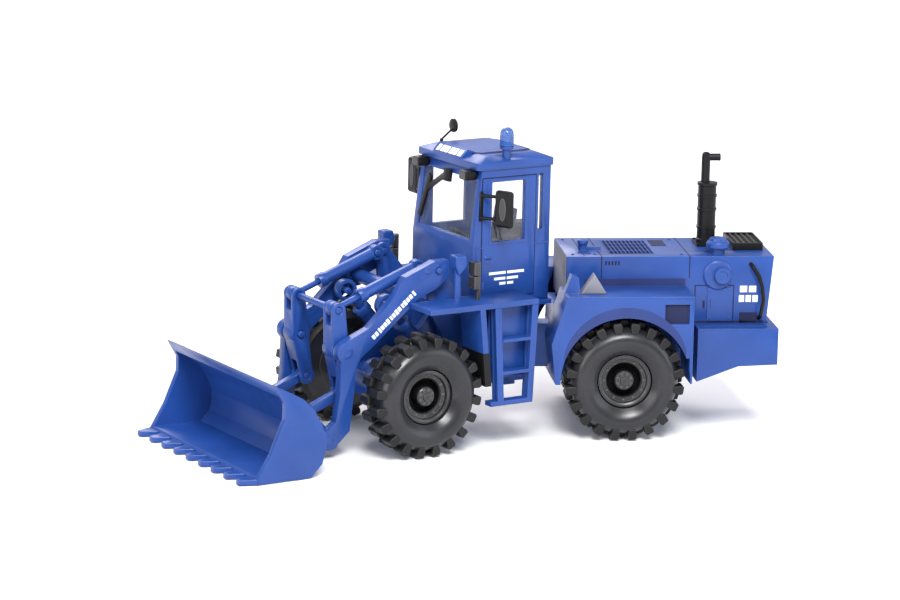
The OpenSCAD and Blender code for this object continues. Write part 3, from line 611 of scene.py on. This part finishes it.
def hood_details():
    body = "rear_section"
    # Painted shade: a dark strip along the hood side just above the fender, where shade falls.
    band = Shape(REAR)
    band.box((-21.4, -8.0), (HOOD_Y - 0.05, HOOD_Y + 0.06), (19.0, 20.0))
    band.both_sides().piece("hood_side_shade_band", body, PAINTED_SHADE_BLUE, 0)
    seams = Shape(REAR)
    for x in (-10.25, -21.85):
        seams.box((x - 0.07, x + 0.07), (-HOOD_Y - 0.02, HOOD_Y + 0.02), (HOOD_TOP - 0.2, HOOD_TOP + 0.02))
        for side in (1, -1):
            face = sorted((side * (HOOD_Y - 0.1), side * (HOOD_Y + 0.02)))
            seams.box((x - 0.07, x + 0.07), face, (20.0, HOOD_TOP - 0.15))
    for side in (1, -1):
        face = sorted((side * (HOOD_Y - 0.1), side * (HOOD_Y + 0.02)))
        seams.box((-27.85, -27.72), face, (14.1, 19.0))
        seams.box((-27.8, -22.6), face, (18.95, 19.08))
        seams.box((-22.75, -22.6), face, (14.1, 19.0))
        seams.box((-31.0, -28.6), face, (14.0, 15.4))
        for i in range(5):
            seams.box((-10.95 - i * 0.42, -10.7 - i * 0.42), face, (21.75, 22.3))
        seams.box((-24.0, -23.7), face, (16.0, 17.0))
        # Painted shadow: a dark band along the hood's lower edge, above the counterweight.
        seams.box((-31.9, -22.7), face, (14.02, 14.3))
    seams.box((-19.9, -17.9), (-4.4, -0.6), (HOOD_TOP - 0.1, HOOD_TOP + 0.03))
    seams.box((-8.1, -7.95), (-5.6, 5.6), (HOOD_TOP - 0.1, HOOD_TOP + 0.02))
    seams.piece("hood_seams_and_shade_line", body, SEAM_AND_SHADE_BLUE, 0)
    # Painted shade: a dark sheet over the hood's front face, which the cab shades.
    front_shade = Shape(REAR)
    front_shade.box((-5.72, -5.64), (0.1 - HOOD_Y, HOOD_Y - 0.1), (16.3, HOOD_TOP - 0.15))
    front_shade.piece("hood_front_shade", body, PAINTED_SHADE_BLUE, 0)
    panel = Shape(REAR)
    panel.box((-27.6, -24.3), (HOOD_Y, HOOD_Y + 0.14), (14.3, 18.7))
    for x in (-27.2, -24.7):
        for z in (14.7, 18.3):
            panel.rod((x, HOOD_Y + 0.1, z), (x, HOOD_Y + 0.24, z), 0.17, 12, 0.04)
    panel.box((-25.0, -24.7), (HOOD_Y, HOOD_Y + 0.3), (16.2, 17.2))
    panel.both_sides().piece("hood_door_panels", body, BLUE, 0.06)
    rivets = Shape(REAR)
    for x, y in ((-8.9, 4.2), (-9.5, 4.7), (-9.1, 2.6), (-6.6, 4.9), (-6.6, -4.9), (-20.9, 4.9),
                 (-20.9, -4.9)):
        rivets.rod((x, y, HOOD_TOP - 0.05), (x, y, HOOD_TOP + 0.12), 0.2, 12, 0.06)
    rivets.piece("hood_rivets", body, BLUE, 0)
    marks = Shape(REAR)
    for x, z, wide, tall in ((-28.6, 18.1, 0.95, 0.85), (-29.8, 18.1, 0.95, 0.85),
                             (-28.5, 16.8, 0.7, 0.9), (-29.4, 16.8, 0.7, 0.9), (-30.3, 16.8, 0.7, 0.9)):
        marks.box((x - wide, x), (HOOD_Y, HOOD_Y + 0.03), (z, z + tall))
    marks.piece("rear_mark_bars", body, PRINT, 0)


def grille():
    """Slanted louvre bars over a well whose floor is painted dark as shade."""
    well_shade = Shape(REAR)
    well_shade.box(GRILLE_X, GRILLE_Y, (HOOD_TOP - 0.28, HOOD_TOP - 0.2))
    well_shade.piece("grille_well_shade", "rear_section", SEAM_AND_SHADE_BLUE, 0, ("hood_grille",), "blue_plastic")
    bars = Shape(REAR)
    for i in range(11):
        x = GRILLE_X[0] + 0.2 + i * 0.53
        bars.plate([(x, HOOD_TOP - 0.2), (x + 0.3, HOOD_TOP + 0.05), (x + 0.38, HOOD_TOP + 0.05),
                    (x + 0.16, HOOD_TOP - 0.2)], grown(GRILLE_Y, -0.05))
    for y in (-2.2, 0, 2.2):
        bars.box(grown(GRILLE_X, -0.1), (y - 0.08, y + 0.08), (HOOD_TOP - 0.2, HOOD_TOP + 0.02))
    bars.piece("grille_bars", "rear_section", BLUE, 0, ("hood_grille",), "blue_plastic")


def radiator_mesh():
    mesh = Shape(REAR)
    x_range, y_range, top = (-32.1, -28.3), (-4.9, 2.3), HOOD_TOP + 0.98
    for y in y_range:
        mesh.box(x_range, (y - 0.12, y + 0.12), (HOOD_TOP - 0.35, top))
    for x in x_range:
        mesh.box((x - 0.12, x + 0.12), y_range, (HOOD_TOP - 0.35, top))
    for i in range(1, 5):
        x = x_range[0] + i * (x_range[1] - x_range[0]) / 5
        mesh.rod((x, y_range[0], top - 0.2), (x, y_range[1], top - 0.2), 0.15, 10, 0.02)
    for i in range(1, 9):
        y = y_range[0] + i * (y_range[1] - y_range[0]) / 9
        mesh.rod((x_range[0], y, top - 0.35), (x_range[1], y, top - 0.35), 0.15, 10, 0.02)
    mesh.box(grown(x_range, -0.1), grown(y_range, -0.1), (HOOD_TOP - 0.35, HOOD_TOP - 0.1))
    mesh.piece("radiator_guard", "rear_section", BLACK, 0.05, ("radiator_mesh",), "black_plastic")


def exhaust():
    """Silencer with clamp bands on a flange, and a thinner tail pipe with a bent outlet."""
    x, y = -25.3, -1.8
    stack = Shape(REAR)
    stack.box((x - 2.1, x + 1.5), (y - 2.2, y + 1.8), (HOOD_TOP, HOOD_TOP + 0.35))
    for dx in (-1.8, 1.2):
        for dy in (-1.9, 1.5):
            stack.rod((x + dx, y + dy, HOOD_TOP + 0.3), (x + dx, y + dy, HOOD_TOP + 0.5), 0.2, 6, 0.03)
    profile = [(0, 0.2), (1.35, 0.2), (1.35, 0.8), (1.22, 0.9)]
    for band in (2.2, 4.6, 6.4):
        profile += [(1.22, band), (1.32, band + 0.05), (1.32, band + 0.35), (1.22, band + 0.4)]
    profile += [(1.22, 7.9), (1.34, 8.0), (1.34, 8.35), (1.1, 8.4), (0, 8.4)]
    stack.lathe(profile, (x, y, HOOD_TOP), (0, 0, 1), 48)
    pipe_x = x + 0.3
    stack.lathe([(0, 8.3), (0.58, 8.3), (0.58, 11.6), (0.5, 12.2), (0.3, 12.38), (0, 12.4)],
                (pipe_x, y, HOOD_TOP), (0, 0, 1), 32)
    stack.lathe([(0, 0.2), (0.48, 0.2), (0.48, 1.6), (0.5, 1.88), (0.38, 1.88), (0.36, 1.3), (0, 1.3)],
                (pipe_x, y, HOOD_TOP + 11.7), (-1, 0, 0), 32)
    stack.piece("exhaust", "rear_section", BLACK, 0, ("exhaust_stack",), "black_plastic")


def engine_caps():
    cleaner = Shape(REAR)
    bowl = [(0, 0), (0.93, 0), (0.93, 0.6), (1.35, 0.72), (1.53, 0.95), (1.53, 1.45), (1.35, 1.68),
            (1.15, 1.74), (1.05, 2.1), (0.7, 2.19), (0, 2.19)]
    cleaner.lathe(bowl, (-25.8, 4.4, HOOD_TOP), (0, 0, 1), 48)
    cleaner.piece("pre_cleaner_bowl", "rear_section", BLUE, 0, ("pre_cleaner",), "blue_plastic")
    cap = Shape(REAR)
    cap.lathe([(0, 0), (1.93, 0), (1.93, 0.25), (1.75, 0.39), (0, 0.39)],
              (-25.6, HOOD_Y, 20.4), (0, 1, 0), 56)
    cap.lathe([(0, 0.3), (1.13, 0.3), (1.13, 0.9), (0.98, 1.08), (0.7, 1.08), (0.6, 0.98), (0, 0.98)],
              (-26.1, HOOD_Y, 20.4), (0, 1, 0), 48)
    cap.piece("filter_cap_rings", "rear_section", BLUE, 0, ("filter_cap",), "blue_plastic")


def rear_rails():
    """Bent black rails at the hood's rear corners."""
    rails = Shape(REAR)
    rails.tube([(-29.9, HOOD_Y - 0.05, 21.9), (-30.2, HOOD_Y + 0.7, 21.5), (-30.9, HOOD_Y + 0.95, 20.4),
                (-31.4, HOOD_Y + 1.0, 18.8), (-31.6, HOOD_Y + 1.0, 17.2), (-31.3, HOOD_Y + 0.9, 15.2),
                (-31.2, HOOD_Y - 0.05, 14.6)], 0.26, 14)
    rails.both_sides().piece("rear_rails", "rear_section", BLACK, 0, ("rear_handrails",), "black_plastic")


def front_details():
    """Black mud flaps on the front fenders' lower parts, and flared heads on the guard posts."""
    heads = Shape()
    outline = [(13.7, 23.6), (14.2, 23.0), (15.0, 22.2), (15.5, 23.4), (15.6, 24.9), (14.0, 24.9)]
    heads.plate(outline, (8.25, 9.95))
    heads.both_sides().piece("guard_heads", "front_section", BLUE, 0.25)
    flaps = Shape()
    flaps.plate([(12.47, 12.7), (13.39, 12.7), (12.97, 8.35), (12.03, 8.35)], (8.15, FENDER_Y + 0.05))
    flaps.both_sides().piece("mud_flaps", "front_section", BLACK, 0.05)


def fender_details():
    body = "rear_section"
    rim = Shape(REAR)
    rim.box((-21.4, -4.9), (FENDER_Y - 0.5, FENDER_Y), (FENDER_TOP - 0.02, FENDER_TOP + 0.02))
    rim.both_sides().piece("fender_top_rims", body, BLUE, 0)
    # Painted shade: a dark sheet at the back of the fender's side pocket.
    recess_shade = Shape(REAR)
    recess_shade.box((-20.75, -17.65), (12.88, 12.94), (15.45, 17.95))
    recess_shade.both_sides().piece("fender_recess_shade", body, SEAM_AND_SHADE_BLUE, 0)
    # Painted shade: a dark band round the wheel arch, widest at the top, for the arch's shaded inside.
    arch = Shape(REAR)
    centre = (AXLES["rear"][1], WHEEL_R)
    steps, start, sweep = 40, 20, 136
    inner = circle(centre, 8.47, steps, start, sweep)
    reach = [8.5 + 1.35 * math.sin(math.pi * i / steps) ** 0.6 for i in range(steps + 1)]
    outer = [circle(centre, reach[i], steps, start, sweep)[i] for i in range(steps + 1)]
    for i in range(len(inner) - 1):
        arch.plate([inner[i], inner[i + 1], outer[i + 1], outer[i]], (FENDER_Y - 0.02, FENDER_Y + 0.015))
    arch.both_sides().piece("arch_shade", body, ARCH_SHADE, 0)
    # Painted shade: a dark floor in the counterweight's slot.
    slot = Shape(REAR)
    slot.box((-31.75, -23.65), (8.05, 8.95), (13.02, 13.1))
    slot.both_sides().piece("weight_slot_floor_shade", body, SEAM_AND_SHADE_BLUE, 0)


# ---------- boom ----------

BOOM_FACE = 8.0


def boom_details():
    """A broken white bar along the lower edge of each arm, and flush pivot caps."""
    start, end = Vector((20.45, 20.35)), Vector((26.6, 14.95))
    along = (end - start).normalized()
    across = Vector((-along.y, along.x))
    bars = Shape()
    step = 0.0
    length = (end - start).length
    count = 15
    for i in range(count):
        reach = length / count * (0.8 if i % 4 else 0.6)
        a = start + along * step
        b = a + along * reach
        half = across * (0.3 if i % 3 else 0.36)
        corners = [tuple(p) for p in (a - half, b - half, b + half, a + half)]
        bars.plate(corners, (BOOM_FACE, BOOM_FACE + 0.025))
        step += length / count
    bars.both_sides().piece("boom_bars", "boom", PRINT, 0)
    caps = Shape()
    for x, z, radius in ((30.2, 13.5, 0.8), (32.5, 2.4, 0.85), (18.6, 23.0, 0.55)):
        caps.lathe([(0, 0), (radius, 0), (radius, 0.05), (radius - 0.12, 0.1), (radius * 0.5, 0.1),
                    (radius * 0.45, 0.02), (0, 0.02)], (x, BOOM_FACE - 0.01, z), (0, 1, 0), 32)
    caps.both_sides().piece("boom_pivot_caps", "boom", BLUE, 0)


# ---------- the rest of the CAD shapes ----------

MOULDED = {
    BLUE: ["front_frame", "front_axle_housing", "front_fender_left", "front_fender_right", "ladder_left",
           "ladder_right", "side_tanks", "rear_frame", "rear_axle_housing", "hood",
           "rear_fender_left", "rear_fender_right", "counterweight",
           "boom_arm_left", "boom_arm_right", "boom_cross_tube", "bucket", "bucket_teeth",
           "bell_crank_left", "bell_crank_right", "tilt_links", "tilt_barrels", "tilt_rods",
           "lift_barrels", "lift_rods", "frame_pins", "boom_pins", "bucket_pins", "steering_pin",
           "crank_shafts"],
    PALE: ["wheel_chock"],
}


# Corners that pass close to each other when the model steers
WIDE_BEVEL = {"front_frame": 0.28, "rear_fender_left": 0.25, "rear_fender_right": 0.25}


def moulded_parts():
    for material, nodes in MOULDED.items():
        for node in nodes:
            softened(node, material, WIDE_BEVEL.get(node, 0.12))


# ---------- stage, light and camera ----------

AZIMUTH, ELEVATION, ROLL = (math.radians(a) for a in (31.73, 12.28, 1.12))
AIM = Vector((0.01561, 0.01603, 0.022))
DISTANCE = 0.43
FOCAL_LENGTH = 139.75


def camera():
    back = Vector((math.sin(AZIMUTH) * math.cos(ELEVATION), math.cos(AZIMUTH) * math.cos(ELEVATION),
                   math.sin(ELEVATION)))
    level = (-back).cross(Vector((0, 0, 1))).normalized()
    upright = back.cross(level)
    right = level * math.cos(ROLL) + upright * math.sin(ROLL)
    up = -level * math.sin(ROLL) + upright * math.cos(ROLL)
    data = bpy.data.cameras.new("camera")
    data.lens = FOCAL_LENGTH
    data.clip_start = 0.01
    view = bpy.data.objects.new("camera", data)
    bpy.context.scene.collection.objects.link(view)
    axes = Matrix((right, up, back)).transposed().to_4x4()
    view.matrix_world = Matrix.Translation(AIM + back * DISTANCE) @ axes
    bpy.context.scene.camera = view


def area_light(name, place, size, power, colour=(1, 1, 1)):
    data = bpy.data.lights.new(name, "AREA")
    data.size = size
    data.energy = power
    data.color = colour
    lamp = bpy.data.objects.new(name, data)
    lamp.location = place
    lamp.rotation_euler = (AIM - Vector(place)).to_track_quat("-Z", "Y").to_euler()
    bpy.context.scene.collection.objects.link(lamp)


def studio():
    mesh = bmesh.new()
    bmesh.ops.create_grid(mesh, x_segments=1, y_segments=1, size=3)
    data = bpy.data.meshes.new("floor")
    mesh.to_mesh(data)
    mesh.free()
    floor = bpy.data.objects.new("floor", data)
    floor.location.z = -0.0001
    bpy.context.scene.collection.objects.link(floor)
    material, tree, shader = new_material("floor_card", (0.86, 0.86, 0.86), 0.7)
    clouds = ramp(tree, noise(tree, 30, 3), 0.0, 1.0)
    tree.links.new(mix(tree, clouds, (0.86, 0.86, 0.87), (0.9, 0.9, 0.9)), shader.inputs["Base Color"])
    data.materials.append(material)
    world = bpy.data.worlds.new("studio")
    world.use_nodes = True
    world.node_tree.nodes["Background"].inputs["Color"].default_value = (0.93, 0.95, 1, 1)
    world.node_tree.nodes["Background"].inputs["Strength"].default_value = 0.55
    bpy.context.scene.world = world
    bpy.context.scene.view_settings.view_transform = "Standard"
    area_light("key", (0.2, 0.42, 0.5), 0.25, 6)
    area_light("front", (0.5, 0.12, 0.22), 0.3, 1.3)
    area_light("fill", (-0.4, 0.4, 0.25), 0.4, 1.2, (0.9, 0.94, 1))
    area_light("rim", (-0.1, -0.45, 0.45), 0.4, 3, (1, 0.94, 0.97))


# ---------- build ----------

def main():
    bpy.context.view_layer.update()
    camera()
    studio()
    wheel_pair("front")
    wheel_pair("rear")
    cab()
    moulded_parts()
    hood_details()
    grille()
    radiator_mesh()
    exhaust()
    engine_caps()
    rear_rails()
    front_details()
    fender_details()
    boom_details()


main()
